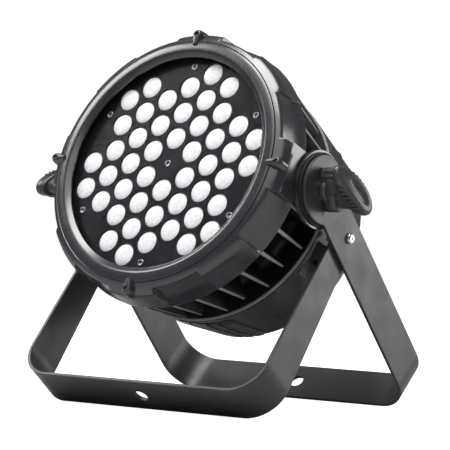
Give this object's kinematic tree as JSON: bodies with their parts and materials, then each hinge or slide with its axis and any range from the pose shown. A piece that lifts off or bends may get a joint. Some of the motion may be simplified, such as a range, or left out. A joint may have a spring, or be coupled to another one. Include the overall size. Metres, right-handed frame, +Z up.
{
  "type": "par can light",
  "caption": "LED par can stage light: round finned head with many small lenses, tilting in a yoke that folds open with a second bracket into a floor stand.",
  "frame": {"origin": "on the floor, under the middle of the whole light's box", "axes": "+Z up; the lamp shines towards -Y, raised 21.9 degrees; +X along the tilt axis, towards the knob on the viewer's right when facing the lamp"},
  "size_m": [0.343, 0.2814, 0.3339],
  "materials": {
    "bracket_steel": "satin black powder coat",
    "casting_black": "satin black paint on cast aluminium",
    "screw_steel": "bright zinc",
    "screw_black": "blackened steel",
    "clear_glass": "clear tempered",
    "lens_optic": "frosted acrylic",
    "mask_black": "matt black",
    "seal_rubber": "matt",
    "led_chip": "phosphor yellow",
    "board_green": "solder mask",
    "heatsink_aluminium": "black anodised",
    "inner_metal": "bare",
    "knob_plastic": "fine textured",
    "panel_plastic": "satin",
    "display_tint": "dark tinted",
    "button_rubber": "satin"
  },
  "bodies": {
    "yoke": {"main_yoke": "bracket_steel", "hinge_screws": "screw_steel", "hinge_barrel_nuts": "screw_black", "hinge_spacers": "seal_rubber"},
    "stand": {"stand_bracket": "bracket_steel"},
    "head": {"bezel_ring": "casting_black", "front_casing": "casting_black", "glass_gasket": "seal_rubber", "front_glass": "clear_glass", "bezel_screws": "screw_steel", "lens_plate": "mask_black", "lenses": "lens_optic", "led_emitters": "led_chip", "led_board": "board_green", "plate_screws": "screw_steel", "heatsink": "heatsink_aluminium", "pivot_bosses": "casting_black", "threaded_inserts": "inner_metal", "friction_pads": "seal_rubber", "housing_gasket": "seal_rubber", "rear_housing": "casting_black", "rear_cover": "casting_black", "cover_screws": "screw_steel", "control_panel": "panel_plastic", "display_window": "display_tint", "breather_vent": "knob_plastic", "power_gland": "knob_plastic", "data_in_gland": "knob_plastic", "data_out_gland": "knob_plastic", "gland_inserts": "seal_rubber", "safety_eye": "screw_steel", "power_supply": "inner_metal", "driver_board": "board_green", "board_standoffs": "inner_metal"},
    "knob_right": {"knob_right_stud": "screw_steel", "knob_right_washer": "screw_black", "knob_right_grip": "knob_plastic", "knob_right_cap": "knob_plastic"},
    "knob_left": {"knob_left_stud": "screw_steel", "knob_left_washer": "screw_black", "knob_left_grip": "knob_plastic", "knob_left_cap": "knob_plastic"},
    "button_menu": {"button_menu": "button_rubber"},
    "button_down": {"button_down": "button_rubber"},
    "button_up": {"button_up": "button_rubber"},
    "button_enter": {"button_enter": "button_rubber"}
  },
  "joints": [
    {"name": "head_tilt", "type": "hinge", "parent": "yoke", "child": "head", "pos_m": [0, -0.03723, 0.19446], "axis": [1, 0, 0], "range_deg": [-110, 70]},
    {"name": "stand_fold", "type": "hinge", "parent": "yoke", "child": "stand", "pos_m": [0, 0.00266, 0.153], "axis": [1, 0, 0], "range_deg": [-9, 81]},
    {"name": "knob_right_turn", "type": "hinge", "parent": "head", "child": "knob_right", "pos_m": [0.135, -0.03723, 0.19446], "axis": [1, 0, 0], "range_deg": [0, 540]},
    {"name": "knob_left_turn", "type": "hinge", "parent": "head", "child": "knob_left", "pos_m": [-0.135, -0.03723, 0.19446], "axis": [-1, 0, 0], "range_deg": [0, 540]},
    {"name": "button_menu_press", "type": "slide", "parent": "head", "child": "button_menu", "axis": [0, -0.9278, 0.373], "range_m": [0, 0.0012], "stiffness_N_per_m": 400, "springref_m": -0.001},
    {"name": "button_down_press", "type": "slide", "parent": "head", "child": "button_down", "axis": [0, -0.9278, 0.373], "range_m": [0, 0.0012], "stiffness_N_per_m": 400, "springref_m": -0.001},
    {"name": "button_up_press", "type": "slide", "parent": "head", "child": "button_up", "axis": [0, -0.9278, 0.373], "range_m": [0, 0.0012], "stiffness_N_per_m": 400, "springref_m": -0.001},
    {"name": "button_enter_press", "type": "slide", "parent": "head", "child": "button_enter", "axis": [0, -0.9278, 0.373], "range_m": [0, 0.0012], "stiffness_N_per_m": 400, "springref_m": -0.001}
  ]
}
